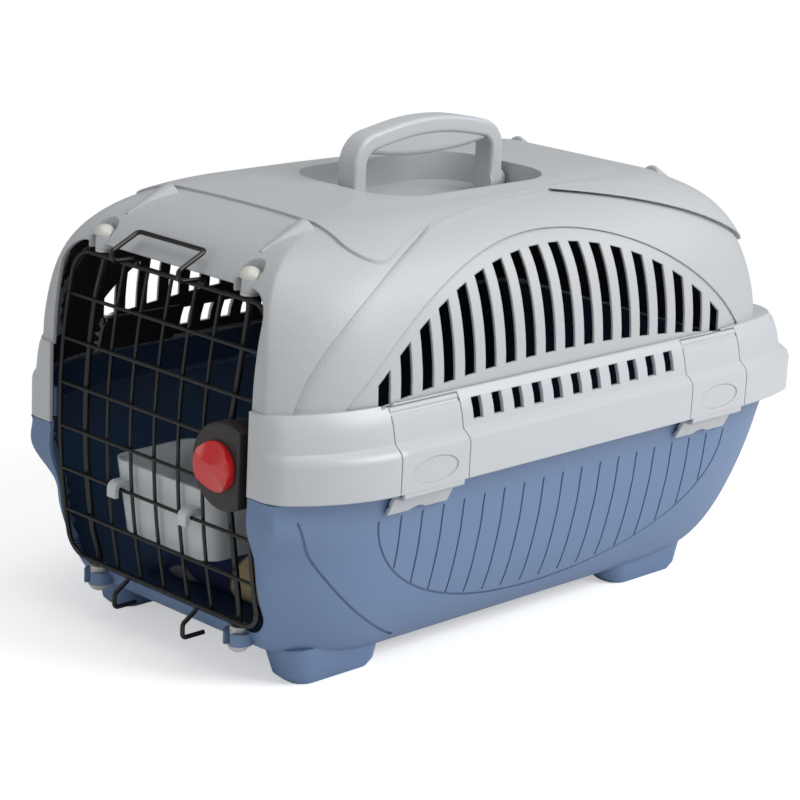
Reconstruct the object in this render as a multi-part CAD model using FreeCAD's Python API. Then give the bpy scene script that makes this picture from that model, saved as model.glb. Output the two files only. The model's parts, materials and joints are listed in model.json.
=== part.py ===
import FreeCAD, Part
import math
import os
from FreeCAD import Vector

# Pet carrier: two moulded half shells, a bowed wire door with a twist lock, four side latches,
# a folding carry handle, a hanging feeding bowl and a floor cushion.
# Millimetres, +Z up, the door faces -Y, the origin is on the floor under the middle of the shells.

# Rim where the half shells meet
RIM_FRONT = -234.0
RIM_REAR = 240.0
RIM_HALF = 146.5
RIM_Z = 130.0
BAND_HEIGHT = 27.0
LEDGE_HEIGHT = 25.0
LEDGE_INSET = 15.0
UPPER_WALL = 2.6
LOWER_WALL = 2.8
SHELL_GAP = 0.6
CORNER_SHARE = 0.34
FRONT_TAPER = 32.0
FRONT_LEAN = 0.07
DOME_FOOT = 40.0
BELT_EDGE_R = 20.0
HOOD_EDGE_R = 3.5
TUB_EDGE_R = 5.0
REAR_EDGE_R = 24.0
REAR_TAPER_SHARE = 0.1
HOOD_SIDE_IN = 12.5
HOOD_FRONT_IN = 1.0
HOOD_REAR_IN = 22.0
HOOD_REAR_LEAN = 0.08

# Heights of the two shells
ROOF_HEIGHT = 152.0
TUB_BOTTOM = 10.0
TUB_WAIST_BELOW = 18.0
TUB_WAIST_IN = 17.5
TUB_NECK_IN = 12.0
TUB_FRONT_IN = 5.0
TUB_COLLAR_IN = 0.5
TUB_REAR_IN = 9.0
TUB_REAR_LEAN = 0.2
TUB_NOSE_Y = -206.0
TUB_NOSE_Z = 25.0
TUB_NOSE_SLOPE = 0.37
LIP_OVERLAP = 22.0

# Side panel of the upper shell, inside the arch that the hood leaves open
PANEL_STEP = 3.0
PANEL_TOP_STEP = 1.6
ARCH_MIDDLE_Y = -15.0
ARCH_FRONT_RUN = 205.0
ARCH_REAR_RUN = 262.0
ARCH_FOOT = 39.0
ROOF_WAIST = 71.0
ROOF_WAIST_Y = 45.0
ROOF_FRONT_R = 470.0
ROOF_REAR_R = 203.0
ROOF_FRONT = -98.0
ROOF_REAR = 38.0

# Raised plate on the roof, between the four bumps
PLATE_STEP = 1.4
PLATE_FRONT = -157.0
PLATE_FRONT_SAG = 12.0
PLATE_REAR = 150.0
PLATE_CORNER_R = 18.0

# Wedge bumps at the ends of the plate
BUMP_X = 62.0
BUMP_ROOT_R = 8.5
BUMP_TIP_R = 1.5
BUMP_FRONT_ROOT_Y = -164.0
BUMP_FRONT_TIP_Y = -200.0
BUMP_REAR_ROOT_Y = 152.0
BUMP_REAR_TIP_Y = 181.0
BUMP_ROOT_BELOW = 8.0
BUMP_TIP_BELOW = 17.0

# Vent slots
VENT_COUNT = 18
VENT_PITCH = 18.15
VENT_WIDTH = 9.6
VENT_MIDDLE_Y = -5.5
VENT_ARCH_R = 235.0
VENT_ARCH_TOP = 126.0
VENT_FIELD_MARGIN = 8.0
VENT_FIELD_STEP = 1.0
VENT_SILL = 61.5
VENT_SILL_SAG = 12.0
LOW_VENT_COUNT = 11
LOW_VENT_WIDTH = 8.6
LOW_VENT_FOOT = 33.5
LOW_VENT_HEIGHT = 13.0
LOW_VENT_MIDDLE_Y = 3.0

# Door, in the front opening of both shells
DOOR_HALF = 90.0
DOOR_BOTTOM = 41.0
DOOR_HEIGHT = 200.0
DOOR_END_Y = -217.0
DOOR_BOW = 11.5
DOOR_CORNER_R = 14.0
DOOR_GAP = 3.5
DOOR_TOP_GAP = 8.0
FRAME_R = 1.6
BAR_R = 1.2
ROD_R = 2.0
BAR_COUNT = 6
BAR_FIRST_ABOVE_BOTTOM = 31.0
BAR_PITCH = 28.3
UPRIGHT_COUNT = 5
UPRIGHT_PITCH = 22.5
WELD_BITE = 0.1
ROD_X = 67.5
ROD_CLEAR = 0.4

# Bushes that carry the hinge rod and catch the lock rods
BUSH_STEM_R = 5.6
BUSH_HEAD_R = 7.4
BUSH_HEAD_HEIGHT = 6.0
BUSH_STEM_OUT = 3.0
BUSH_SEAT_CLEAR = 0.05
HINGE_CLEAR = 0.05
CATCH_CLEAR = 2.2
HEAD_CLEAR = 1.2
EAR_R = 9.5
EAR_SLOT = 5.0
EAR_THICK = 8.0
EAR_FROM_DOOR = 5.0

# Loop and hooks that lap over the lips of the opening
LOOP_R = 1.5
LOOP_HALF = 31.0
HOOK_X = 33.0
HOOK_BEND_R = 3.0

# Twist lock
LOCK_X = 70.5
LOCK_Z = 143.5
LOCK_LEFT = 46.9
LOCK_RIGHT = 88.3
LOCK_HALF_HEIGHT = 27.0
LOCK_FRONT_DEPTH = 8.0
LOCK_WALL = 2.2
LOCK_FIT = 0.3
PINION_TEETH = 10
MODULE = 1.0
TOOTH_SHARE = 0.8
PRESSURE_ANGLE = 25.0
BACKLASH = 0.2
RACK_WIDTH = 3.8
RACK_THICK = 4.0
BRIDGE_HEIGHT = 3.0
RACK_BEHIND = 1.8
RACK_CLEAR = 0.6
TRAVEL_TURN = 90.0
KNOB_R = 15.4
KNOB_HEIGHT = 6.5
KNOB_EDGE_R = 1.2
KNOB_BAR_HALF = 2.4
SCOOP_R = 40.0
SCOOP_OUT = 35.0
SPINDLE_R = 3.5
STUB_R = 2.2
RUN_CLEAR = 0.05
SCREW_R = 1.5
SCREW_HEAD_R = 2.8

# Side latches, flush in notches of the rim
LATCH_WIDTH = 57.0
LATCH_FRONT_Y = -130.5
LATCH_REAR_Y = 138.5
LATCH_WALL = 2.6
LATCH_GAP = 0.6
LATCH_BARREL_R = 2.4
LATCH_NECK = 3.8
LATCH_NECK_LOW = -0.2
LATCH_NECK_HIGH = 1.4
LATCH_DROP = 1.8
LATCH_PIN_R = 1.5
LATCH_PIN_LENGTH = 3.2
TONGUE_WIDTH = 51.0
TONGUE_LENGTH = 17.0
OVAL_LENGTH = 38.0
OVAL_HEIGHT = 16.0
OVAL_DEPTH = 0.6

# Carry handle in the roof pocket
HANDLE_Y = -5.5
HANDLE_LENGTH = 137.0
HANDLE_WIDTH = 17.0
HANDLE_THICK = 11.0
HANDLE_RISE = 47.5
HANDLE_CROWN = 8.0
HANDLE_CORNER_R = 16.0
GRIP_DEPTH = 10.0
GRIP_WIDTH = 14.0
PIVOT_R = 2.5
POCKET_HALF_WIDTH = 54.5
POCKET_HALF_LENGTH = 77.0
POCKET_CORNER_R = 34.0
POCKET_DEPTH = 19.0
PIVOT_CLEAR = 0.6
EAR_GAP = 0.5
PIVOT_EAR_THICK = 5.0

# Ribs under the latches and grooves on the sides of the tub
RIB_Z = 118.5
RIB_HEIGHT = 2.2
RIB_OUT = 133.2
RIB_WIDTH = 44.0
GROOVE_COUNT = 17
GROOVE_PITCH = 18.2
GROOVE_WIDTH = 1.4
GROOVE_DEPTH = 0.8
GROOVE_MIDDLE_Y = 6.0
GROOVE_FIELD_HALF = 160.0
GROOVE_FIELD_DEPTH = 74.0
GROOVE_BORDER = 4.0
GROOVE_TOP_BELOW = 3.0

# Feet under the tub
FOOT_HALF_WIDTH = 22.0
FOOT_X = 84.0
FOOT_FRONT_Y = -156.0
FOOT_REAR_Y = 138.0
FOOT_LENGTH = 62.0

# Feeding bowl on the door
BOWL_BAR = 1
BOWL_X = 0.0
BOWL_HALF_TOP = 48.0
BOWL_HALF_BOTTOM = 43.0
BOWL_DEPTH_TOP = 70.0
BOWL_DEPTH_BOTTOM = 60.0
BOWL_LEAD = 5.0
BOWL_HEIGHT = 47.0
BOWL_ABOVE_BAR = 17.0
BOWL_WALL = 2.0
BOWL_CORNER_R = 12.0
BOWL_HOOK_WIDTH = 8.0
BOWL_HOOK_THICK = 3.0
BOWL_HOOK_DROP = 5.0
BOWL_CLEAR = 1.0

# Floor cushion
CUSHION_GAP = 5.0
CUSHION_HEIGHT = 24.0
CUSHION_CROWN = 7.0
CUSHION_LIFT = 0.3
CUSHION_FRONT_IN = 14.0

DOOR_TOP = DOOR_BOTTOM + DOOR_HEIGHT
DOOR_MIDDLE = DOOR_BOTTOM + DOOR_HEIGHT / 2
BOW_R = (DOOR_HEIGHT ** 2 / 4 + DOOR_BOW ** 2) / (2 * DOOR_BOW)
ROD_Y = DOOR_END_Y + FRAME_R + ROD_R + ROD_CLEAR
BAND_TOP = RIM_Z + BAND_HEIGHT
LEDGE_TOP = BAND_TOP + LEDGE_HEIGHT
ROOF_Z = RIM_Z + ROOF_HEIGHT
FAR = 400.0


# Basic shapes

def box(x0, y0, z0, x1, y1, z1):
    return Part.makeBox(x1 - x0, y1 - y0, z1 - z0, Vector(x0, y0, z0))


def cylinder(radius, start, end):
    axis = end - start
    return Part.makeCylinder(radius, axis.Length, start, axis)


def prism(points, push):
    return Part.Face(Part.makePolygon(points + points[:1])).extrude(push)


def mirror_x(shape):
    return shape.mirror(Vector(0, 0, 0), Vector(1, 0, 0))


def both_sides(shape):
    return [shape, mirror_x(shape)]


def fuse_all(shapes):
    return shapes[0].multiFuse(shapes[1:]).removeSplitter()


def rounded_path(points, radii, closed=False):
    # Straight runs joined by tangent arcs, one radius for each corner
    count = len(points)
    corners = [i for i in range(count) if radii[i] > 0]
    starts = {}
    ends = {}
    arcs = {}
    for i in corners:
        here = points[i]
        back = (here - points[i - 1]).normalize()
        ahead = (points[(i + 1) % count] - here).normalize()
        turn = math.acos(max(-1.0, min(1.0, back.dot(ahead))))
        reach = radii[i] * math.tan(turn / 2)
        inward = (ahead - back).normalize()
        starts[i] = here - back * reach
        ends[i] = here + ahead * reach
        middle = here + inward * (radii[i] / math.cos(turn / 2) - radii[i])
        arcs[i] = Part.Arc(starts[i], middle, ends[i]).toShape()
    edges = []
    for i in range(count if closed else count - 1):
        follow = (i + 1) % count
        run_start = ends.get(i, points[i])
        run_end = starts.get(follow, points[follow])
        if (run_end - run_start).Length > 1e-6:
            edges.append(Part.LineSegment(run_start, run_end).toShape())
        if follow in arcs:
            edges.append(arcs[follow])
    return Part.Wire(edges)


def tube(path, radius):
    first = path.OrderedEdges[0]
    start = first.valueAt(first.FirstParameter)
    heading = first.tangentAt(first.FirstParameter)
    section = Part.Wire(Part.makeCircle(radius, start, heading))
    return path.makePipeShell([section], True, False)


# Shell sections: each row is height, half width, front, rear, taper of the front corner and its edge radius

def corner(half, end, run, taper, edge_r, side):
    # Points of one corner: flat edge, small arc, large arc, start of the straight side
    large_r = (taper ** 2 + run ** 2) / (2 * taper)
    centre = Vector(half - large_r, end + side * run, 0)
    small_y = end + side * edge_r
    reach = math.sqrt((large_r - edge_r) ** 2 - (small_y - centre.y) ** 2)
    small = Vector(centre.x + reach, small_y, 0)
    touch = centre + (small - centre) * (large_r / (large_r - edge_r))
    flat = Vector(small.x, end, 0)
    straight = Vector(half, centre.y, 0)
    small_middle = small + ((flat - small).normalize() + (touch - small).normalize()).normalize() * edge_r
    large_middle = centre + ((touch - centre).normalize() + Vector(1, 0, 0)).normalize() * large_r
    return flat, small_middle, touch, large_middle, straight


def outline(row):
    z, half, front, rear, taper, edge_r = row
    run = CORNER_SHARE * (rear - front) / 2
    f_flat, f_small, f_touch, f_large, f_side = corner(half, front, run, taper, edge_r, 1)
    rear_taper = REAR_TAPER_SHARE * half
    rear_r = min(REAR_EDGE_R, run / 2)
    r_flat, r_small, r_touch, r_large, r_side = corner(half, rear, run, rear_taper, rear_r, -1)
    up = Vector(0, 0, z)
    right = [(f_flat, f_small, f_touch), (f_touch, f_large, f_side), (f_side, None, r_side)]
    right += [(r_side, r_large, r_touch), (r_touch, r_small, r_flat)]
    flip = [tuple(p and Vector(-p.x, p.y, 0) for p in reversed(step)) for step in reversed(right)]
    steps = right + [(r_flat, None, flip[0][0])] + flip + [(flip[-1][2], None, f_flat)]
    edges = []
    for start, middle, end in steps:
        if middle is None:
            edges.append(Part.LineSegment(start + up, end + up).toShape())
        else:
            edges.append(Part.Arc(start + up, middle + up, end + up).toShape())
    return Part.Wire(edges)


def loft(rows, ruled=False):
    return Part.makeLoft([outline(row) for row in rows], True, ruled)


def inset(rows, depth):
    # The same rows moved in along the slope of the side wall
    moved = []
    for i, (z, half, front, rear, taper, edge_r) in enumerate(rows):
        low = rows[max(i - 1, 0)]
        high = rows[min(i + 1, len(rows) - 1)]
        rise = high[0] - low[0]
        side_in = depth * rise / math.hypot(rise, high[1] - low[1])
        drop = depth * (low[1] - high[1]) / math.hypot(rise, high[1] - low[1])
        front_in = depth * rise / math.hypot(rise, high[2] - low[2])
        rear_in = depth * rise / math.hypot(rise, high[3] - low[3])
        moved.append((z - drop, half - side_in, front + front_in, rear - rear_in, taper, edge_r))
    return moved


def rim_row(side_in, z):
    # The front stays in one plane with the hood, so only the sides and the rear step in
    taper = FRONT_TAPER - 0.5 * side_in
    return (z, RIM_HALF - side_in, RIM_FRONT, RIM_REAR - 0.6 * side_in, taper, BELT_EDGE_R)


SHOULDER_STEPS = ((0.0, -5.0), (1.2, -1.6), (3.6, 0.6), (6.6, 2.6), (7.6, 6.5))
LEDGE_SHARES = ((0.6, 0.52), (0.77, 0.8), (1.0, 1.0))


def rim_rows():
    # Band with a rounded shoulder and a narrow shelf, then a convex ledge up to the wall
    rows = [rim_row(0, RIM_Z)]
    rows += [rim_row(side_in, BAND_TOP + up) for side_in, up in SHOULDER_STEPS]
    rows += [rim_row(LEDGE_INSET * across, BAND_TOP + LEDGE_HEIGHT * up) for across, up in LEDGE_SHARES]
    return rows


def swell(share, power, root):
    # Share of the base size left at a share of the height, on a superellipse
    return (1 - share ** power) ** (1 / root)


DOME_SHARES = (0.0, 0.2, 0.4, 0.56, 0.7, 0.8, 0.88, 0.94, 0.975, 0.992)


def dome_rows(side_in, top_in, side_power, side_root, end_in):
    # Rows from inside the ledge up to the roof; the front stays upright for longer than the rear
    rows = []
    base = RIM_Z + DOME_FOOT
    height = ROOF_Z - top_in - base
    for share in DOME_SHARES:
        half = (RIM_HALF - side_in) * swell(share, side_power, side_root)
        lean = FRONT_LEAN * share * height
        front = (RIM_FRONT + HOOD_FRONT_IN + end_in + lean) * swell(share, 5.0, 5.0)
        rear_lean = HOOD_REAR_LEAN * share * height
        rear = (RIM_REAR - HOOD_REAR_IN - end_in - rear_lean) * swell(share, 2.0, 8.0)
        rows.append((base + share * height, half, front, rear, FRONT_TAPER * half / RIM_HALF, HOOD_EDGE_R))
    return rows


def hood_rows():
    # Outer form of the roof, front and rear, with square shoulders
    return dome_rows(HOOD_SIDE_IN, 0.0, 2.2, 5.0, 0.0)


def panel_rows():
    # Outer form of the vented side panels, with rounder shoulders
    return dome_rows(HOOD_SIDE_IN + PANEL_STEP, PANEL_TOP_STEP, 2.2, 5.0, PANEL_TOP_STEP)


TUB_LIP_IN = UPPER_WALL + SHELL_GAP + 0.4
TUB_SHARES = (0.9615, 0.945, 0.92, 0.87, 0.79, 0.69, 0.55, 0.38, 0.2)
COLLAR_TOP = RIM_Z - SHELL_GAP


def tub_rows():
    # Rows from the flat bottom up to the waist, then a collar that flares up to the lip
    waist = RIM_Z - TUB_WAIST_BELOW
    height = (waist - TUB_BOTTOM) / TUB_SHARES[0]
    rows = []
    for share in TUB_SHARES:
        half = (RIM_HALF - TUB_WAIST_IN) * swell(share, 1.2, 8.5)
        front = (RIM_FRONT + TUB_FRONT_IN) * swell(share, 1.2, 15.0)
        rear = (RIM_REAR - TUB_REAR_IN - TUB_REAR_LEAN * share * height) * swell(share, 1.2, 16.0)
        rows.append((waist - share * height, half, front, rear, FRONT_TAPER * half / RIM_HALF, TUB_EDGE_R))
    flare = TUB_WAIST_IN - TUB_NECK_IN
    for z, out in ((waist, 0.0), ((waist + COLLAR_TOP) / 2, 0.4 * flare), (COLLAR_TOP, flare)):
        half = RIM_HALF - TUB_WAIST_IN + out
        # The front corners stay flush with the belt, though the sides lie behind it
        taper = FRONT_TAPER - (RIM_HALF - half)
        rear = RIM_REAR - TUB_REAR_IN + 0.4 * out
        rows.append((z, half, RIM_FRONT + TUB_COLLAR_IN, rear, taper, TUB_EDGE_R))
    return rows


def tub_lip_rows():
    rows = []
    for z in (COLLAR_TOP, RIM_Z + LIP_OVERLAP):
        half = RIM_HALF - TUB_LIP_IN
        rows.append((z, half, RIM_FRONT + TUB_LIP_IN, RIM_REAR - TUB_LIP_IN, FRONT_TAPER, BELT_EDGE_R))
    return rows


def tub_nose(up):
    # Wedge under the raised front of the bottom
    rise = up * math.hypot(1.0, TUB_NOSE_SLOPE)
    ends = [(y, TUB_NOSE_Z + rise - TUB_NOSE_SLOPE * (y - TUB_NOSE_Y)) for y in (-FAR, 0.0)]
    points = [Vector(-FAR, y, z) for y, z in ends + [(0.0, -FAR), (-FAR, -FAR)]]
    return prism(points, Vector(2 * FAR, 0, 0))


# Door wires share one bowed surface

def bow_y(z):
    drop = BOW_R - math.sqrt(BOW_R ** 2 - (z - DOOR_MIDDLE) ** 2)
    return DOOR_END_Y - DOOR_BOW + drop


def bow_bend(corner_gap):
    # Corner point and radius whose tangent arc is the bow, used between straight ends
    reach = DOOR_HEIGHT / 2 - corner_gap
    slope = math.tan(math.asin(reach / BOW_R))
    return bow_y(DOOR_MIDDLE + reach) - slope * reach, slope


def door_frame():
    apex_y, slope = bow_bend(DOOR_CORNER_R)
    end_y = apex_y + slope * DOOR_HEIGHT / 2
    points = []
    for x, turn in ((-DOOR_HALF, 1), (DOOR_HALF, -1)):
        low = DOOR_MIDDLE - turn * DOOR_HEIGHT / 2
        high = DOOR_MIDDLE + turn * DOOR_HEIGHT / 2
        points += [Vector(x, end_y, low), Vector(x, apex_y, DOOR_MIDDLE), Vector(x, end_y, high)]
    radii = [DOOR_CORNER_R, BOW_R, DOOR_CORNER_R] * 2
    start = (points[3] + points[2]) * 0.5
    path = rounded_path([start] + points[3:] + points[:3], [0] + radii, True)
    return tube(path, FRAME_R)


def bar_heights():
    return [DOOR_BOTTOM + BAR_FIRST_ABOVE_BOTTOM + i * BAR_PITCH for i in range(BAR_COUNT)]


def door_crossbars():
    bars = []
    for z in bar_heights():
        reach = DOOR_HALF - FRAME_R + WELD_BITE
        bars.append(cylinder(BAR_R, Vector(-reach, bow_y(z), z), Vector(reach, bow_y(z), z)))
    return Part.makeCompound(bars)


def bowed_wire(x, offset, end_y, low, high, radius):
    # Wire behind the crossbars; past the outermost bars it bends back to straight vertical ends
    bow_r = BOW_R - offset
    hold = BAR_PITCH * (BAR_COUNT - 1) / 2 + 2 * BAR_R
    slope = math.tan(math.asin(hold / bow_r))
    apex_y = bow_y(DOOR_MIDDLE) + offset + bow_r * (1 - math.sqrt(1 - (hold / bow_r) ** 2)) - slope * hold
    bend = hold + 5.0
    knee = DOOR_HEIGHT / 2 - 4.0
    upper = [Vector(x, apex_y + slope * bend, DOOR_MIDDLE + bend), Vector(x, end_y, DOOR_MIDDLE + knee), Vector(x, end_y, high)]
    lower = [Vector(x, end_y, low), Vector(x, end_y, DOOR_MIDDLE - knee), Vector(x, apex_y + slope * bend, DOOR_MIDDLE - bend)]
    points = lower + [Vector(x, apex_y, DOOR_MIDDLE)] + upper
    return tube(rounded_path(points, [0, 12.0, 20.0, bow_r, 20.0, 12.0, 0]), radius)


def door_uprights():
    offset = 2 * BAR_R - WELD_BITE
    apex_y, slope = bow_bend(DOOR_CORNER_R)
    end_y = apex_y + offset + slope * DOOR_HEIGHT / 2
    wires = []
    for i in range(UPRIGHT_COUNT):
        x = (i - (UPRIGHT_COUNT - 1) / 2) * UPRIGHT_PITCH
        points = [Vector(x, end_y, DOOR_BOTTOM), Vector(x, apex_y + offset, DOOR_MIDDLE), Vector(x, end_y, DOOR_TOP)]
        wires.append(tube(rounded_path(points, [0, BOW_R, 0]), BAR_R))
    return Part.makeCompound(wires)


def ear_face(top):
    # Height of the ear's face on the door side
    return DOOR_TOP + EAR_FROM_DOOR if top else DOOR_BOTTOM - EAR_FROM_DOOR - 1.5


def bush_mouth(top):
    return ear_face(top) - BUSH_STEM_OUT if top else ear_face(top) + BUSH_STEM_OUT


def door_hinge_rod():
    low = ear_face(False) - EAR_THICK
    high = ear_face(True) + EAR_THICK
    offset = BAR_R + ROD_R - WELD_BITE
    return bowed_wire(-ROD_X, offset, ROD_Y, low, high, ROD_R)


def bush(x, top):
    sign = 1 if top else -1
    face = ear_face(top)
    seat = face + sign * EAR_THICK
    mouth = bush_mouth(top)
    stem = cylinder(BUSH_STEM_R, Vector(x, ROD_Y, mouth), Vector(x, ROD_Y, seat))
    dome_r = (BUSH_HEAD_R ** 2 + BUSH_HEAD_HEIGHT ** 2) / (2 * BUSH_HEAD_HEIGHT)
    ball = Part.makeSphere(dome_r, Vector(x, ROD_Y, seat + sign * (BUSH_HEAD_HEIGHT - dome_r)))
    ends = sorted((seat, seat + sign * 2 * BUSH_HEAD_HEIGHT))
    head = ball.common(box(x - FAR, ROD_Y - FAR, ends[0], x + FAR, ROD_Y + FAR, ends[1]))
    bore_r = ROD_R + (HINGE_CLEAR if x < 0 else CATCH_CLEAR)
    bore = cylinder(bore_r, Vector(x, ROD_Y, mouth - sign), Vector(x, ROD_Y, seat + sign * 0.5))
    return stem.fuse(head).removeSplitter().cut(bore)


def ear(x, top):
    sign = 1 if top else -1
    face = ear_face(top)
    ring = cylinder(EAR_R, Vector(x, ROD_Y, face), Vector(x, ROD_Y, face + sign * EAR_THICK))
    ends = sorted((face - sign, face + sign * (EAR_THICK + 1.0)))
    return ring.cut(box(x - EAR_SLOT / 2, ROD_Y - 2 * EAR_R, ends[0], x + EAR_SLOT / 2, ROD_Y, ends[1]))


def ear_collar(x):
    # Wall round the notch that the upper bush's head stands in
    seat = ear_face(True) + EAR_THICK
    radius = BUSH_HEAD_R + HEAD_CLEAR + UPPER_WALL
    collar = cylinder(radius, Vector(x, ROD_Y, seat - UPPER_WALL), Vector(x, ROD_Y, seat + 5 * BUSH_HEAD_HEIGHT))
    return collar.cut(box(x - FAR, ROD_Y - FAR, 0, x + FAR, ROD_Y, FAR))


def bush_hole(x, top):
    sign = 1 if top else -1
    face = ear_face(top)
    radius = BUSH_STEM_R + BUSH_SEAT_CLEAR
    start = face - sign * EAR_THICK
    hole = cylinder(radius, Vector(x, ROD_Y, start), Vector(x, ROD_Y, face + sign * EAR_THICK))
    clear_r = BUSH_HEAD_R + HEAD_CLEAR
    seat = face + sign * EAR_THICK
    far = seat + sign * 5 * BUSH_HEAD_HEIGHT
    head = cylinder(clear_r, Vector(x, ROD_Y, seat), Vector(x, ROD_Y, far))
    ends = sorted((seat, far))
    front = box(x - clear_r, ROD_Y - 4 * EAR_R, ends[0], x + clear_r, ROD_Y, ends[1])
    return fuse_all([hole, head, front])


def door_top_loop():
    lip_y = DOOR_END_Y - 19.0
    rise = DOOR_TOP + 4.5
    bar_y = DOOR_END_Y + 1.0
    bar_z = DOOR_TOP + 21.5
    side = [Vector(0, DOOR_END_Y, DOOR_TOP), Vector(0, DOOR_END_Y, rise), Vector(0, lip_y, rise + 1.0)]
    side += [Vector(0, lip_y - 1.0, rise + 7.0), Vector(0, bar_y, bar_z)]
    left = [Vector(-LOOP_HALF, p.y, p.z) for p in side]
    right = [Vector(LOOP_HALF, p.y, p.z) for p in reversed(side)]
    points = left + right
    return tube(rounded_path(points, [0] + [HOOK_BEND_R] * (len(points) - 2) + [0]), LOOP_R)


def door_bottom_hooks():
    hooks = []
    for x in (-HOOK_X, HOOK_X):
        points = [Vector(x, DOOR_END_Y, DOOR_BOTTOM), Vector(x, DOOR_END_Y - 1.0, DOOR_BOTTOM - 3.5)]
        points += [Vector(x, DOOR_END_Y - 11.0, DOOR_BOTTOM - 10.0), Vector(x, DOOR_END_Y - 11.0, DOOR_BOTTOM - 19.0)]
        points += [Vector(x, DOOR_END_Y + 6.0, DOOR_BOTTOM - 19.0)]
        hooks.append(tube(rounded_path(points, [0, 2.0, HOOK_BEND_R, HOOK_BEND_R, 0]), LOOP_R))
    return Part.makeCompound(hooks)


def door_opening():
    # Through cut with rounded corners, wider than the door by its gap
    half = DOOR_HALF + DOOR_GAP
    low = DOOR_BOTTOM - DOOR_GAP - FRAME_R
    high = DOOR_TOP + DOOR_TOP_GAP
    points = [Vector(-half, -FAR, low), Vector(half, -FAR, low), Vector(half, -FAR, high), Vector(-half, -FAR, high)]
    radii = [DOOR_CORNER_R + DOOR_GAP] * 4
    face = Part.Face(rounded_path(points, radii, True))
    return face.extrude(Vector(0, FAR + DOOR_END_Y + 30.0, 0))


# Twist lock

LOCK_BACK = -DOOR_BOW + DOOR_END_Y + BAR_R + RACK_BEHIND + RACK_THICK + RACK_CLEAR
LOCK_FACE = -DOOR_BOW + DOOR_END_Y - LOCK_FRONT_DEPTH
PITCH_R = MODULE * PINION_TEETH / 2
TRAVEL = math.radians(TRAVEL_TURN) * PITCH_R


def lock_block(grow, y0, y1):
    # Round, with a flat on the side of the frame
    radius = LOCK_HALF_HEIGHT + grow
    centre = Vector(LOCK_LEFT + LOCK_HALF_HEIGHT, y0, LOCK_Z)
    disc = cylinder(radius, centre, centre + Vector(0, y1 - y0, 0))
    return disc.common(box(-FAR, y0, 0, LOCK_RIGHT + grow, y1, FAR))


def screw_places():
    middle = LOCK_LEFT + LOCK_WALL + 6.6
    return [Vector(middle, LOCK_BACK, LOCK_Z - 6.5), Vector(middle, LOCK_BACK, LOCK_Z + 6.5)]


def bar_slots(radius):
    near = [z for z in bar_heights() if abs(z - LOCK_Z) < LOCK_HALF_HEIGHT]
    return [cylinder(radius, Vector(LOCK_LEFT - 20, bow_y(z), z), Vector(LOCK_RIGHT + 9, bow_y(z), z)) for z in near]


def rod_slots(radius):
    slots = []
    for sign in (1, -1):
        start = Vector(ROD_X, RACK_Y, LOCK_Z)
        slots.append(cylinder(radius, start, start + Vector(0, 0, sign * 2 * LOCK_HALF_HEIGHT)))
    return slots


RACK_Y = -DOOR_BOW + DOOR_END_Y + BAR_R + RACK_BEHIND + RACK_THICK / 2


def lock_housing():
    body = lock_block(0, LOCK_FACE, LOCK_BACK)
    room = lock_block(-LOCK_WALL, LOCK_FACE + LOCK_WALL, LOCK_BACK + 1)
    shell = body.cut(room)
    bosses = []
    for place in screw_places():
        boss = cylinder(2 * SCREW_R, place, Vector(place.x, LOCK_FACE + 1, place.z))
        bosses.append(boss)
    shell = fuse_all([shell] + bosses)
    holes = [cylinder(SCREW_R, place, place + Vector(0, -9, 0)) for place in screw_places()]
    spindle = cylinder(SPINDLE_R + RUN_CLEAR, Vector(LOCK_X, LOCK_FACE - 1, LOCK_Z), Vector(LOCK_X, LOCK_FACE + 4, LOCK_Z))
    cuts = holes + [spindle] + bar_slots(BAR_R) + rod_slots(ROD_R + LOCK_FIT)
    shell = shell.cut(Part.makeCompound(cuts))
    edge = [e for e in shell.Edges if all(abs(v.Point.y - LOCK_FACE) < 0.01 for v in e.Vertexes)]
    rim = [e for e in edge if e.BoundBox.XLength > 1 or e.BoundBox.ZLength > 1]
    outer = [e for e in rim if not (e.Curve.TypeId == "Part::GeomCircle" and e.Curve.Radius < 2 * SPINDLE_R)]
    return shell.makeFillet(1.6, outer)


def lock_back_plate():
    plate = lock_block(0, LOCK_BACK, LOCK_BACK + LOCK_WALL)
    holes = [cylinder(SCREW_R, p - Vector(0, 1, 0), p + Vector(0, LOCK_WALL + 1, 0)) for p in screw_places()]
    return plate.cut(Part.makeCompound(holes))


def lock_screws():
    screws = []
    for place in screw_places():
        head_start = place + Vector(0, LOCK_WALL, 0)
        head = cylinder(SCREW_HEAD_R, head_start, head_start + Vector(0, 1.8, 0))
        shank = cylinder(SCREW_R, head_start, place + Vector(0, -8, 0))
        slot = box(-SCREW_HEAD_R, 1.0, -0.4, SCREW_HEAD_R, 3.0, 0.4)
        slot.translate(head_start)
        screws.append(head.fuse(shank).removeSplitter().cut(slot))
    return Part.makeCompound(screws)


def lock_knob():
    back = LOCK_FACE - LOCK_FIT
    front = back - KNOB_HEIGHT
    centre = Vector(LOCK_X, 0, LOCK_Z)
    cap = cylinder(KNOB_R, centre + Vector(0, back, 0), centre + Vector(0, front, 0))
    rim = [e for e in cap.Edges if abs(e.BoundBox.YMax - front) < 0.01]
    cap = cap.makeFillet(KNOB_EDGE_R, rim)
    # Two scoops leave a grip bar that is narrow in the middle
    reach = math.sqrt(SCOOP_R ** 2 - SCOOP_OUT ** 2) + KNOB_BAR_HALF
    scoops = [Part.makeSphere(SCOOP_R, centre + Vector(0, front - SCOOP_OUT, side * reach)) for side in (1, -1)]
    cap = cap.cut(Part.makeCompound(scoops))
    spindle_end = RACK_Y - RACK_THICK / 2 - LOCK_FIT
    spindle = cylinder(SPINDLE_R, centre + Vector(0, back, 0), centre + Vector(0, spindle_end, 0))
    stub = cylinder(STUB_R, centre + Vector(0, spindle_end, 0), centre + Vector(0, RACK_Y + RACK_THICK / 2, 0))
    return fuse_all([cap, spindle, stub])


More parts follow.
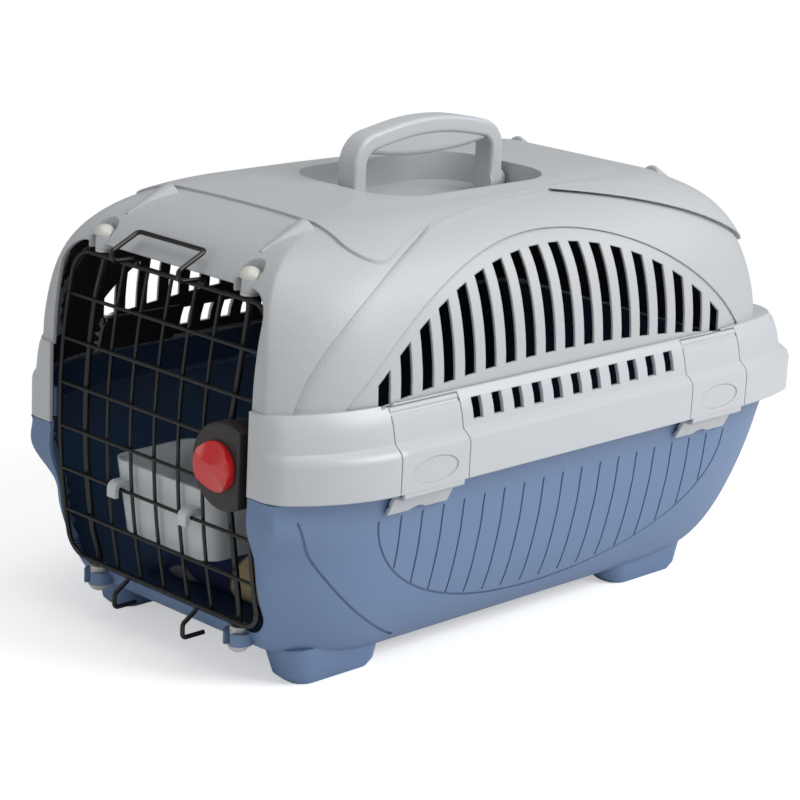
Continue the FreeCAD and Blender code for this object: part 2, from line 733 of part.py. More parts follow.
def involute_flank(base_r, radius):
    angle = math.acos(base_r / radius)
    return math.tan(angle) - angle


def lock_pinion():
    press = math.radians(PRESSURE_ANGLE)
    base_r = PITCH_R * math.cos(press)
    tip_r = PITCH_R + TOOTH_SHARE * MODULE
    root_r = PITCH_R - (TOOTH_SHARE + 0.2) * MODULE
    half_tooth = (math.pi * MODULE / 2 - BACKLASH) / 2 / PITCH_R + math.tan(press) - press
    low_r = max(base_r, root_r)
    levels = [low_r + (tip_r - low_r) * i / 3 for i in range(4)]
    front = RACK_Y - RACK_THICK / 2
    core = cylinder(root_r, Vector(0, front, 0), Vector(0, front + RACK_THICK, 0))
    flank = [(r, half_tooth - involute_flank(base_r, r)) for r in levels]
    profile = [(root_r - 0.5, half_tooth)] + flank
    profile += [(r, -a) for r, a in reversed(profile)]
    teeth = []
    for i in range(PINION_TEETH):
        turn = 2 * math.pi * i / PINION_TEETH
        points = [Vector(r * math.cos(turn + a), front, r * math.sin(turn + a)) for r, a in profile]
        teeth.append(prism(points, Vector(0, RACK_THICK, 0)))
    gear = fuse_all([core] + teeth)
    gear.translate(Vector(LOCK_X, 0, LOCK_Z))
    axis = Vector(LOCK_X, front - 1, LOCK_Z)
    return gear.cut(cylinder(STUB_R, axis, axis + Vector(0, RACK_THICK + 2, 0)))


def rack(side, low, high):
    # Bar with straight teeth that mesh with the pinion; side is -1 for the upper rod
    press = math.tan(math.radians(PRESSURE_ANGLE))
    pitch = math.pi * MODULE
    line = LOCK_X + side * PITCH_R
    tip = line - side * TOOTH_SHARE * MODULE
    root = line + side * (TOOTH_SHARE + 0.2) * MODULE
    front = RACK_Y - RACK_THICK / 2
    xs = sorted((root, root + side * RACK_WIDTH))
    bar = box(xs[0], front, low, xs[1], front + RACK_THICK, high)
    half = (pitch / 2 - BACKLASH) / 2
    tip_half = half - TOOTH_SHARE * MODULE * press
    root_half = half + (TOOTH_SHARE + 0.2) * MODULE * press
    # A gap of the rack faces the pinion tooth that points straight at it
    teeth = []
    count = int((high - low) / pitch) + 2
    for i in range(-count, count):
        middle = LOCK_Z + (i + 0.5) * pitch
        if low + root_half < middle < high - root_half:
            back = root + side * 0.5
            points = [Vector(back, front, middle - root_half), Vector(root, front, middle - root_half)]
            points += [Vector(tip, front, middle - tip_half), Vector(tip, front, middle + tip_half)]
            points += [Vector(root, front, middle + root_half), Vector(back, front, middle + root_half)]
            teeth.append(prism(points, Vector(0, RACK_THICK, 0)))
    return fuse_all([bar] + teeth)


def lock_rod(top):
    # Straight tip in line with its bush, slanted shank along the bow, toothed bar in the housing
    sign = 1 if top else -1
    side = -1 if top else 1
    tip_z = bush_mouth(top) - sign * LOCK_FIT
    edge_z = DOOR_TOP if top else DOOR_BOTTOM
    knee_z = edge_z - sign * 7.0
    house_z = LOCK_Z + sign * (LOCK_HALF_HEIGHT + 1.0)
    bridge_z = PITCH_R + TOOTH_SHARE * MODULE + 1.4
    inner_z = LOCK_Z + sign * (bridge_z + BRIDGE_HEIGHT)
    points = [Vector(ROD_X, ROD_Y, tip_z), Vector(ROD_X, ROD_Y, knee_z), Vector(ROD_X, RACK_Y, house_z)]
    points += [Vector(ROD_X, RACK_Y, inner_z)]
    wire = tube(rounded_path(points, [0, 12.0, 12.0, 0]), ROD_R)
    near = LOCK_Z - sign * (TRAVEL + 1.6)
    far = LOCK_Z + sign * (bridge_z + BRIDGE_HEIGHT)
    bar = rack(side, min(near, far), max(near, far))
    x_bar = LOCK_X + side * (PITCH_R + (TOOTH_SHARE + 0.2) * MODULE)
    x_rod = ROD_X + (ROD_R if top else -0.7)
    xs = sorted((x_rod, x_bar + side * RACK_WIDTH))
    zs = sorted((LOCK_Z + sign * bridge_z, far))
    bridge = box(xs[0], RACK_Y - RACK_THICK / 2, zs[0], xs[1], RACK_Y + RACK_THICK / 2, zs[1])
    return fuse_all([wire, bar, bridge])


# Upper shell

def waist_x(y, grow):
    # Half width of the roof panel, drawn in at the waist
    radius = ROOF_FRONT_R if y < ROOF_WAIST_Y else ROOF_REAR_R
    return ROOF_WAIST - grow + radius - math.sqrt(radius ** 2 - (y - ROOF_WAIST_Y) ** 2)


def waist_side(front_y, rear_y, grow, side):
    arcs = []
    for y0, y1 in ((front_y, ROOF_WAIST_Y), (ROOF_WAIST_Y, rear_y)):
        points = [Vector(side * waist_x(y, grow), y, RIM_Z) for y in (y0, (y0 + y1) / 2, y1)]
        arcs.append(Part.Arc(*points).toShape())
    return arcs


def waisted_face(front_y, rear_y, grow, sag):
    # Plan of the roof panel; its front edge may draw back in the middle
    edges = waist_side(front_y, rear_y, grow, 1) + waist_side(front_y, rear_y, grow, -1)
    ends = [[Vector(side * waist_x(y, grow), y, RIM_Z) for side in (-1, 1)] for y in (front_y, rear_y)]
    if sag:
        edges.append(Part.Arc(ends[0][0], Vector(0, front_y + sag, RIM_Z), ends[0][1]).toShape())
    else:
        edges.append(Part.LineSegment(*ends[0]).toShape())
    edges.append(Part.LineSegment(*ends[1]).toShape())
    return Part.Face(Part.Wire(Part.__sortEdges__(edges)))


def roof_plate():
    raised = dome_rows(HOOD_SIDE_IN - PLATE_STEP, -PLATE_STEP, 2.2, 5.0, -PLATE_STEP)
    plan = waisted_face(PLATE_FRONT - PLATE_FRONT_SAG, PLATE_REAR, 0, PLATE_FRONT_SAG)
    column = plan.extrude(Vector(0, 0, 2 * ROOF_HEIGHT))
    corners = [e for e in column.Edges if e.BoundBox.ZLength > ROOF_HEIGHT]
    corners = [e for e in corners if abs(e.BoundBox.YMin - ROOF_WAIST_Y) > 1]
    column = column.makeFillet(PLATE_CORNER_R, corners)
    lower = box(-FAR, -FAR, RIM_Z, FAR, FAR, ROOF_Z - POCKET_DEPTH - UPPER_WALL - 4.0)
    return loft(raised).common(column).cut(lower)


def side_region(grow):
    # Everything under the hood's arch, seen from the side, and outside the roof panel, seen from above
    foot = RIM_Z + ARCH_FOOT
    middle = Vector(-FAR, ARCH_MIDDLE_Y, foot)
    crown = Vector(-FAR, ARCH_MIDDLE_Y, ROOF_Z + grow)
    edges = []
    ends = []
    for run in (-ARCH_FRONT_RUN - grow, ARCH_REAR_RUN + grow):
        end = middle + Vector(0, run, 0)
        edges.append(Part.ArcOfEllipse(Part.Ellipse(end, crown, middle), 0, math.pi / 2).toShape())
        low = Vector(-FAR, end.y, RIM_Z + DOME_FOOT / 2)
        edges.append(Part.LineSegment(end, low).toShape())
        ends.append(low)
    edges.append(Part.LineSegment(*ends).toShape())
    arch = Part.Face(Part.Wire(Part.__sortEdges__(edges))).extrude(Vector(2 * FAR, 0, 0))
    roof = waisted_face(ROOF_FRONT, ROOF_REAR, grow, 0).extrude(Vector(0, 0, 2 * ROOF_HEIGHT))
    return arch.cut(roof)


def pocket(grow, floor):
    half_x = POCKET_HALF_WIDTH + grow
    half_y = POCKET_HALF_LENGTH + grow
    points = [Vector(-half_x, HANDLE_Y - half_y, floor), Vector(half_x, HANDLE_Y - half_y, floor)]
    points += [Vector(half_x, HANDLE_Y + half_y, floor), Vector(-half_x, HANDLE_Y + half_y, floor)]
    face = Part.Face(rounded_path(points, [POCKET_CORNER_R + grow] * 4, True))
    return face.extrude(Vector(0, 0, ROOF_HEIGHT))


def roof_bumps():
    # Wedges that rise from a low tip to a blunt root
    bumps = []
    for root_y, tip_y in ((BUMP_FRONT_ROOT_Y, BUMP_FRONT_TIP_Y), (BUMP_REAR_ROOT_Y, BUMP_REAR_TIP_Y)):
        tip = Vector(BUMP_X, tip_y, ROOF_Z - BUMP_TIP_BELOW)
        root = Vector(BUMP_X, root_y, ROOF_Z - BUMP_ROOT_BELOW)
        axis = root - tip
        cone = Part.makeCone(BUMP_TIP_R, BUMP_ROOT_R, axis.Length, tip, axis)
        end = [e for e in cone.Edges if e.Closed and (e.BoundBox.Center - root).Length < BUMP_ROOT_R / 2]
        bumps += both_sides(cone.makeFillet(BUMP_TIP_R, end))
    return bumps


POCKET_FLOOR = ROOF_Z - POCKET_DEPTH
PIVOT_Z = POCKET_FLOOR + HANDLE_WIDTH / 2 + PIVOT_CLEAR


def handle_ears():
    ears = []
    for sign in (-1, 1):
        inner = HANDLE_Y + sign * (HANDLE_LENGTH / 2 + EAR_GAP)
        ys = sorted((inner, inner + sign * PIVOT_EAR_THICK))
        block = box(-6, ys[0], POCKET_FLOOR - 1, 6, ys[1], PIVOT_Z)
        boss = cylinder(6.0, Vector(0, ys[0], PIVOT_Z), Vector(0, ys[1], PIVOT_Z))
        ears.append(block.fuse(boss).removeSplitter())
    return ears


def vent_centre():
    return Vector(-FAR, VENT_MIDDLE_Y, RIM_Z + VENT_ARCH_TOP - VENT_ARCH_R)


def vent_field():
    # Shallow recess of the panel round the slots
    rows = panel_rows()
    skin = loft(rows).cut(loft(inset(rows, VENT_FIELD_STEP)))
    start = vent_centre()
    disc = cylinder(VENT_ARCH_R + VENT_FIELD_MARGIN, start, start + Vector(2 * FAR, 0, 0))
    return skin.common(disc).common(box(-FAR, -FAR, LEDGE_TOP - 3.0, FAR, FAR, ROOF_Z))


def vent_cuts():
    cuts = []
    centre = vent_centre()
    sill = RIM_Z + VENT_SILL

    def arch_z(y):
        return centre.z + math.sqrt(VENT_ARCH_R ** 2 - (y - centre.y) ** 2)

    def sill_z(y):
        share = 2 * (y - VENT_MIDDLE_Y) / (VENT_COUNT * VENT_PITCH)
        return sill - VENT_SILL_SAG * share ** 2

    for i in range(VENT_COUNT):
        y = VENT_MIDDLE_Y + (i - (VENT_COUNT - 1) / 2) * VENT_PITCH
        near = y - VENT_WIDTH / 2
        far = y + VENT_WIDTH / 2
        points = [Vector(-FAR, near, sill_z(near)), Vector(-FAR, far, sill_z(far))]
        points += [Vector(-FAR, far, arch_z(far)), Vector(-FAR, near, arch_z(near))]
        cuts.append(prism(points, Vector(2 * FAR, 0, 0)))
    return cuts


def low_vent_cuts():
    cuts = []
    low = RIM_Z + LOW_VENT_FOOT
    for i in range(LOW_VENT_COUNT):
        y = LOW_VENT_MIDDLE_Y + (i - (LOW_VENT_COUNT - 1) / 2) * VENT_PITCH
        near = y - LOW_VENT_WIDTH / 2
        far = y + LOW_VENT_WIDTH / 2
        cuts.append(box(-FAR, near, low, FAR, far, low + LOW_VENT_HEIGHT))
    return cuts


def latch_pivot():
    # Just under the upper end of the ledge, so that the barrel stays flush
    (across_low, up_low), (across_high, up_high) = LEDGE_SHARES[-2:]
    low = Vector(RIM_HALF - LEDGE_INSET * across_low, 0, BAND_TOP + LEDGE_HEIGHT * up_low)
    high = Vector(RIM_HALF - LEDGE_INSET * across_high, 0, BAND_TOP + LEDGE_HEIGHT * up_high)
    along = (high - low).normalize()
    outward = Vector(along.z, 0, -along.x)
    return (low + high) * 0.5 - outward * LATCH_BARREL_R, along


def ledge_block(low, high, start, end, inner, outer):
    # Block given along the ledge, along the pivot axis and out from the pivot
    pivot, along = latch_pivot()
    block = box(inner, start, low, outer, end, high)
    block.rotate(Vector(0, 0, 0), Vector(0, 1, 0), math.degrees(math.atan2(along.x, along.z)))
    block.translate(pivot)
    return block


def above_pivot(down):
    return ledge_block(-down, FAR, -FAR, FAR, -FAR, FAR)


def latch_zone(middle, width, low, high):
    return box(0, middle - width / 2, low, FAR, middle + width / 2, high)


def rim_layer(outer_depth, inner_depth):
    rows = rim_rows()
    outer = loft(inset(rows, outer_depth) if outer_depth else rows, True)
    base = inset(rows, inner_depth)
    low = base[0]
    high = base[-1]
    base = [(low[0] - 1.0,) + low[1:]] + base[1:] + [(LEDGE_TOP + 1.0,) + high[1:]]
    return outer.cut(loft(base, True))


def upper_shell():
    rows = rim_rows()
    rim = loft(rows, True)
    hood = loft(hood_rows())
    panel = loft(panel_rows())
    outer = fuse_all([hood.cut(side_region(0)), panel, rim, roof_plate()] + roof_bumps())
    outer = outer.cut(Part.makeCompound([pocket(0, POCKET_FLOOR), vent_field()]))
    rim_in = inset(rows, UPPER_WALL)
    low = rim_in[0]
    rim_in = [(RIM_Z - 1.0,) + low[1:]] + rim_in[1:]
    hood_in = inset(hood_rows(), UPPER_WALL)
    panel_in = inset(panel_rows(), UPPER_WALL)
    room = fuse_all([loft(hood_in).cut(side_region(UPPER_WALL)), loft(panel_in), loft(rim_in, True)])
    room = room.cut(pocket(UPPER_WALL, POCKET_FLOOR - UPPER_WALL))
    shell = outer.cut(room)
    # Latch notches with a backing wall behind the upper half
    depth = LATCH_WALL + LATCH_GAP
    pivot = latch_pivot()[0]
    notch_skin = rim_layer(0, depth).cut(above_pivot(0))
    backing_skin = rim_layer(depth, depth + UPPER_WALL)
    notches = []
    backings = []
    groove_r = LATCH_BARREL_R + LATCH_GAP
    bosses = []
    pin_holes = []
    rim_solid = loft(rows, True)
    for middle in (LATCH_FRONT_Y, LATCH_REAR_Y):
        width = LATCH_WIDTH + 2 * LATCH_GAP
        notches.append(notch_skin.common(latch_zone(middle, width, RIM_Z - 2, LEDGE_TOP + 1)))
        backings.append(backing_skin.common(latch_zone(middle, width + 6, RIM_Z + LIP_OVERLAP + 3, LEDGE_TOP + 1)))
        start = Vector(pivot.x, middle - width / 2, pivot.z)
        end = Vector(pivot.x, middle + width / 2, pivot.z)
        notches.append(cylinder(groove_r, start, end))
        for at, sign in ((start, -1), (end, 1)):
            boss = cylinder(LATCH_PIN_R + 2.0, at, at + Vector(0, sign * 5.0, 0))
            bosses.append(boss.common(rim_solid))
            pin_holes.append(cylinder(LATCH_PIN_R + RUN_CLEAR, at, at + Vector(0, sign * (LATCH_PIN_LENGTH + 0.3), 0)))
    right = backings + bosses
    left = [mirror_x(piece) for piece in right]
    shell = shell.cut(Part.makeCompound(notches[0::2] + [mirror_x(n) for n in notches[0::2]]))
    shell = fuse_all([shell] + right + left)
    cuts = notches[1::2] + pin_holes
    cuts += [mirror_x(piece) for piece in cuts]
    shell = shell.cut(Part.makeCompound(cuts))
    # Openings, then the bosses that carry the door and the handle
    shell = shell.cut(Part.makeCompound(vent_cuts() + low_vent_cuts() + [door_opening()]))
    ears = [ear(x, True) for x in (-ROD_X, ROD_X)] + [ear_collar(x).common(outer) for x in (-ROD_X, ROD_X)]
    shell = fuse_all([shell] + ears + handle_ears())
    pins = [cylinder(PIVOT_R, Vector(0, y0, PIVOT_Z), Vector(0, y1, PIVOT_Z)) for y0, y1 in handle_pin_ends()]
    return shell.cut(Part.makeCompound([bush_hole(x, True) for x in (-ROD_X, ROD_X)] + pins))


def handle_pin_ends():
    ends = []
    for sign in (-1, 1):
        inner = HANDLE_Y + sign * (HANDLE_LENGTH / 2 - HANDLE_THICK + 1.5)
        outer = HANDLE_Y + sign * (HANDLE_LENGTH / 2 + EAR_GAP + PIVOT_EAR_THICK)
        ends.append(sorted((inner, outer)))
    return ends


# Latches

def latch(side, middle):
    body = rim_layer(0, LATCH_WALL).common(latch_zone(middle, LATCH_WIDTH, RIM_Z - 0.5, LEDGE_TOP))
    pivot = latch_pivot()[0]
    body = body.cut(above_pivot(LATCH_NECK))
    half = LATCH_WIDTH / 2
    neck = ledge_block(-LATCH_NECK - 1.0, 0, middle - half, middle + half, LATCH_NECK_LOW, LATCH_NECK_HIGH)
    start = Vector(pivot.x, middle - LATCH_WIDTH / 2, pivot.z)
    end = Vector(pivot.x, middle + LATCH_WIDTH / 2, pivot.z)
    barrel = cylinder(LATCH_BARREL_R, start, end)
    pin_out = Vector(0, LATCH_PIN_LENGTH, 0)
    pins = cylinder(LATCH_PIN_R, start - pin_out, end + pin_out)
    # Bottom wall under the band, then a tongue that curves in and hooks below the tub's rib
    out = RIM_HALF
    y0 = middle - TONGUE_WIDTH / 2
    foot = RIM_Z - TONGUE_LENGTH
    inner = out - 11.4
    under = COLLAR_TOP - LATCH_DROP
    points = [(out - LATCH_WALL, RIM_Z + 2), (out - LATCH_WALL, under), (inner + 0.8, under), (inner, under - 4.0)]
    points += [(RIB_OUT + LATCH_GAP, RIB_Z + RIB_HEIGHT + 1.2), (RIB_OUT + LATCH_GAP, RIB_Z + RIB_HEIGHT - 1.4)]
    points += [(RIB_OUT - 1.8, RIB_Z - 1.6), (RIB_OUT - 2.4, foot), (RIB_OUT - 0.9, foot)]
    points += [(RIB_OUT + 2.0, RIB_Z), (out - 9.0, under - 4.0), (out - 7.6, under - 2.4), (out - 2.0, under - 2.0)]
    points += [(out - 0.3, under - 0.6), (out, RIM_Z + 2)]
    tongue = prism([Vector(x, y0, z) for x, z in points], Vector(0, TONGUE_WIDTH, 0))
    whole = fuse_all([body, neck, barrel, pins, tongue])
    oval = Part.Face(Part.Wire(Part.Ellipse(Vector(0, 0, 0), OVAL_LENGTH / 2, OVAL_HEIGHT / 2).toShape()))
    oval = oval.extrude(Vector(0, 0, 5))
    oval.rotate(Vector(0, 0, 0), Vector(0, 1, 0), 90)
    oval.rotate(Vector(0, 0, 0), Vector(1, 0, 0), 90)
    oval.translate(Vector(out - OVAL_DEPTH, middle, RIM_Z + 0.42 * BAND_HEIGHT))
    notch_r = 12.0
    notch_z = foot - notch_r + 2.2
    notch = cylinder(notch_r, Vector(out - 20, middle, notch_z), Vector(out + 2, middle, notch_z))
    whole = whole.cut(Part.makeCompound([oval, notch]))
    return whole if side > 0 else mirror_x(whole)


# Carry handle

def handle_section(start):
    half_x = HANDLE_WIDTH / 2
    half_y = HANDLE_THICK / 2
    points = [Vector(-half_x, -half_y, 0), Vector(half_x, -half_y, 0), Vector(half_x, half_y, 0), Vector(-half_x, half_y, 0)]
    wire = rounded_path([p + start for p in points], [2.6] * 4, True)
    return wire


def handle_path_points():
    leg = HANDLE_LENGTH / 2 - HANDLE_THICK / 2
    crown = PIVOT_Z + HANDLE_RISE - HANDLE_THICK / 2
    shoulder = crown - HANDLE_CROWN
    points = [Vector(0, HANDLE_Y - leg, PIVOT_Z), Vector(0, HANDLE_Y - leg, shoulder)]
    points += [Vector(0, HANDLE_Y, crown + HANDLE_CROWN * 0.5)]
    points += [Vector(0, HANDLE_Y + leg, shoulder), Vector(0, HANDLE_Y + leg, PIVOT_Z)]
    return points


def carry_handle():
    points = handle_path_points()
    path = rounded_path(points, [0, HANDLE_CORNER_R, 180.0, HANDLE_CORNER_R, 0])
    bow = path.makePipeShell([handle_section(points[0])], True, False)
    pieces = [bow]
    for y in (points[0].y, points[-1].y):
        ends = [Vector(0, y + s * HANDLE_THICK / 2, PIVOT_Z) for s in (-1, 1)]
        pieces.append(cylinder(HANDLE_WIDTH / 2, ends[0], ends[1]))
    whole = fuse_all(pieces)
    holes = [cylinder(PIVOT_R + RUN_CLEAR, Vector(0, y0, PIVOT_Z), Vector(0, y1, PIVOT_Z)) for y0, y1 in handle_pin_ends()]
    return whole.cut(Part.makeCompound(holes))


def handle_grip():
    # Lens shaped insert under the bow
    leg = HANDLE_LENGTH / 2 - HANDLE_THICK
    under = PIVOT_Z + HANDLE_RISE - HANDLE_THICK - HANDLE_CROWN
    half = GRIP_WIDTH / 2
    a = Vector(-half, HANDLE_Y - leg + 3, under)
    b = Vector(-half, HANDLE_Y + leg - 3, under)
    low = Part.Arc(a, Vector(-half, HANDLE_Y, under - GRIP_DEPTH / 2), b).toShape()
    high = Part.Arc(b, Vector(-half, HANDLE_Y, under + 1.5 * HANDLE_CROWN), a).toShape()
    lens = Part.Face(Part.Wire([low, high])).extrude(Vector(GRIP_WIDTH, 0, 0))
    edges = [e for e in lens.Edges if e.Length > HANDLE_LENGTH / 2 and e.BoundBox.ZMin < under - 1]
    lens = lens.makeFillet(4.0, edges)
    points = handle_path_points()
    path = rounded_path(points, [0, HANDLE_CORNER_R, 180.0, HANDLE_CORNER_R, 0])
    bow = path.makePipeShell([handle_section(points[0])], True, False)
    solids = lens.cut(bow).Solids
    return min(solids, key=lambda solid: solid.CenterOfMass.z)


def handle_pins():
    pins = [cylinder(PIVOT_R, Vector(0, y0, PIVOT_Z), Vector(0, y1, PIVOT_Z)) for y0, y1 in handle_pin_ends()]
    return Part.makeCompound(pins)


# Lower shell

def feet():
    # Boat shaped feet that widen into the bottom of the tub
    blocks = []
    for y in (FOOT_FRONT_Y, FOOT_REAR_Y):
        wires = []
        for z, grow in ((0.0, 0.0), (4.0, 5.0), (TUB_BOTTOM + 14.0, 11.0)):
            half_x = FOOT_HALF_WIDTH - 10.0 + grow * 0.55
            half_y = FOOT_LENGTH / 2 + grow
            at = FOOT_X - 0.25 * grow
            points = [Vector(at + sx * half_x, y + sy * half_y, z) for sx, sy in ((-1, -1), (1, -1), (1, 1), (-1, 1))]
            wires.append(rounded_path(points, [half_x * 0.85] * 4, True))
        blocks += both_sides(Part.makeLoft(wires, True, True))
    return blocks


def latch_ribs():
    # Ribs below the lip that the latch hooks catch
    top = RIB_Z + RIB_HEIGHT
    root = RIM_HALF - TUB_WAIST_IN - LOWER_WALL / 2
    points = [(root, top + 1.5), (RIB_OUT, top), (RIB_OUT, top - 0.8), (root, RIB_Z - 1.4)]
    ribs = []
    for middle in (LATCH_FRONT_Y, LATCH_REAR_Y):
        start = middle - RIB_WIDTH / 2
        ribs += both_sides(prism([Vector(x, start, z) for x, z in points], Vector(0, RIB_WIDTH, 0)))
    return ribs


def side_grooves(rows):
    # Thin upright grooves in the oval field on each side of the tub
    skin = loft(rows).cut(loft(inset(rows, GROOVE_DEPTH)))
    stripes = []
    for i in range(GROOVE_COUNT):
        y = GROOVE_MIDDLE_Y + (i - (GROOVE_COUNT - 1) / 2) * GROOVE_PITCH
        share = abs(y - GROOVE_MIDDLE_Y) / GROOVE_FIELD_HALF
        drop = GROOVE_FIELD_DEPTH * swell(share, 2.6, 2.0)
        top = RIM_Z - TUB_WAIST_BELOW - GROOVE_TOP_BELOW
        stripes.append(box(0, y - GROOVE_WIDTH / 2, top - drop, FAR, y + GROOVE_WIDTH / 2, top))
    right = [skin.common(stripe) for stripe in stripes]
    right += [skin.common(ring) for ring in (field_border(), corner_line())]
    return right + [mirror_x(groove) for groove in right]


def field_border():
    # Half oval round the ends of the grooves
    top = RIM_Z - TUB_WAIST_BELOW - GROOVE_TOP_BELOW
    middle = Vector(0, GROOVE_MIDDLE_Y, top)
    solids = []
    for grow in (GROOVE_BORDER + GROOVE_WIDTH, GROOVE_BORDER):
        end = middle + Vector(0, GROOVE_FIELD_HALF + grow, 0)
        side = middle + Vector(0, 0, GROOVE_FIELD_DEPTH + grow)
        oval = Part.Face(Part.Wire(Part.Ellipse(end, side, middle).toShape()))
        solids.append(oval.extrude(Vector(FAR, 0, 0)))
    return solids[0].cut(solids[1]).common(box(0, -FAR, 0, FAR, FAR, top))


def corner_line():
    # Curved line between the front corner and the bottom
    ends = [Vector(0, RIM_FRONT + 16.0, RIM_Z - 12.0), Vector(0, RIM_FRONT + 115.0, TUB_BOTTOM + 11.0)]
    middle = Vector(0, RIM_FRONT + 53.0, RIM_Z - 64.0)
    curve = Part.Arc(ends[0], middle, ends[1]).toShape().Curve
    push = Vector(FAR, 0, 0)
    ring = cylinder(curve.Radius + GROOVE_WIDTH / 2, curve.Center, curve.Center + push)
    ring = ring.cut(cylinder(curve.Radius - GROOVE_WIDTH / 2, curve.Center, curve.Center + push))
    return ring.common(box(0, ends[0].y, ends[1].z, FAR, ends[1].y, ends[0].z))


def lower_shell():
    rows = tub_rows()
    lip = tub_lip_rows()
    body = fuse_all([loft(rows).cut(tub_nose(0)), loft(lip, True)] + feet() + latch_ribs())
    room_rows = inset(rows, LOWER_WALL)
    room_rows[0] = (rows[0][0] + LOWER_WALL,) + room_rows[0][1:]
    room_rows[1] = (room_rows[1][0] + 0.4 * LOWER_WALL,) + room_rows[1][1:]
    neck = room_rows[-1]
    room_rows[-1] = (lip[0][0] + LOWER_WALL + 1.0,) + neck[1:]
    lip_in = inset(lip, LOWER_WALL)
    lip_in = [(lip[0][0] + LOWER_WALL,) + lip_in[0][1:], (lip[1][0] + 1.0,) + lip_in[1][1:]]
    room = fuse_all([loft(room_rows).cut(tub_nose(LOWER_WALL)), loft(lip_in, True)])
    shell = body.cut(room).cut(Part.makeCompound([door_opening()] + side_grooves(rows)))
    shell = fuse_all([shell] + [ear(x, False) for x in (-ROD_X, ROD_X)])
    return shell.cut(Part.makeCompound([bush_hole(x, False) for x in (-ROD_X, ROD_X)]))


# Feeding bowl and cushion

def bowl_place():
    bar_z = bar_heights()[BOWL_BAR]
    front = bow_y(bar_z) + 3 * BAR_R + BOWL_CLEAR
    return bar_z, front


def bowl_box(grow, top_extra, floor):
    bar_z, front = bowl_place()
    top = bar_z + BOWL_ABOVE_BAR
    wires = []
    for z, half, depth, lead in ((top - BOWL_HEIGHT, BOWL_HALF_BOTTOM, BOWL_DEPTH_BOTTOM, BOWL_LEAD),
                                 (top, BOWL_HALF_TOP, BOWL_DEPTH_TOP, 0.0)):
        half += grow
        low_y = front + lead - grow
        high_y = front + lead + depth + grow
        points = [Vector(BOWL_X - half, low_y, z), Vector(BOWL_X + half, low_y, z)]
        points += [Vector(BOWL_X + half, high_y, z), Vector(BOWL_X - half, high_y, z)]
        wires.append(rounded_path(points, [BOWL_CORNER_R + grow] * 4, True))
    wires[0].translate(Vector(0, 0, floor))
    wires[1].translate(Vector(0, 0, top_extra))
    return Part.makeLoft(wires, True, True)


def bowl_hook(x):
    # Rounded head over the crossbar with a tab that hangs down in front of it
    bar_z, front = bowl_place()
    bar_y = bow_y(bar_z)
    push = Vector(BOWL_HOOK_WIDTH, 0, 0)
    start = x - BOWL_HOOK_WIDTH / 2
    inner_r = BAR_R + BOWL_CLEAR
    outer_r = inner_r + BOWL_HOOK_THICK
    axis = Vector(start, bar_y, bar_z)
    arm = box(start, bar_y, bar_z, start + push.x, front + BOWL_LEAD, bar_z + outer_r)
    tab = box(start, bar_y - outer_r, bar_z - BOWL_HOOK_DROP, start + push.x, bar_y - inner_r, bar_z)
    hook = fuse_all([cylinder(outer_r, axis, axis + push), arm, tab])
    under = box(start - 1, bar_y - inner_r, bar_z - FAR, start + push.x + 1, front, bar_z)
    return hook.cut(fuse_all([cylinder(inner_r, axis - push, axis + push * 2), under]))


def feeding_bowl():
    body = bowl_box(0, 0, 0)
    room = bowl_box(-BOWL_WALL, 0.5, BOWL_WALL)
    hooks = [bowl_hook(BOWL_X + side * 1.5 * UPRIGHT_PITCH) for side in (-1, 1)]
    return fuse_all([body] + hooks).cut(room)


def floor_cushion():
    # Crowned pad whose sides draw in between its corners
    rows = tub_rows()
    floor = rows[0]
    base = TUB_BOTTOM + LOWER_WALL + CUSHION_LIFT
    half = floor[1] - LOWER_WALL - CUSHION_GAP
    front = floor[2] + LOWER_WALL + CUSHION_GAP + CUSHION_FRONT_IN
    rear = floor[3] - LOWER_WALL - CUSHION_GAP
    middle = (front + rear) / 2
    wires = []
    for z, grow in ((0.0, -7.0), (0.35 * CUSHION_HEIGHT, 0.0), (0.65 * CUSHION_HEIGHT, -1.0), (CUSHION_HEIGHT, -16.0)):
        x = half + grow
        y0 = front - grow
        y1 = rear + grow
        corners = [Vector(-x, y0, base + z), Vector(x, y0, base + z), Vector(x, y1, base + z), Vector(-x, y1, base + z)]
        waists = [Vector(0, y0 + CUSHION_CROWN, base + z), Vector(x - CUSHION_CROWN, middle, base + z)]
        waists += [Vector(0, y1 - CUSHION_CROWN, base + z), Vector(-x + CUSHION_CROWN, middle, base + z)]
        edges = [Part.Arc(corners[i], waists[i], corners[(i + 1) % 4]).toShape() for i in range(4)]
        wires.append(Part.Wire(edges))
    pad = Part.makeLoft(wires, True, False)
    top = base + CUSHION_HEIGHT
    crown_half = half - 16.0
    crown_r = (crown_half ** 2 + CUSHION_CROWN ** 2) / (2 * CUSHION_CROWN)
    dome = cylinder(crown_r, Vector(0, front + 30.0, top + CUSHION_CROWN - crown_r), Vector(0, rear - 30.0, top + CUSHION_CROWN - crown_r))
    dome = dome.common(box(-FAR, -FAR, top - 2.0, FAR, FAR, FAR))
    return pad.fuse(dome).removeSplitter()


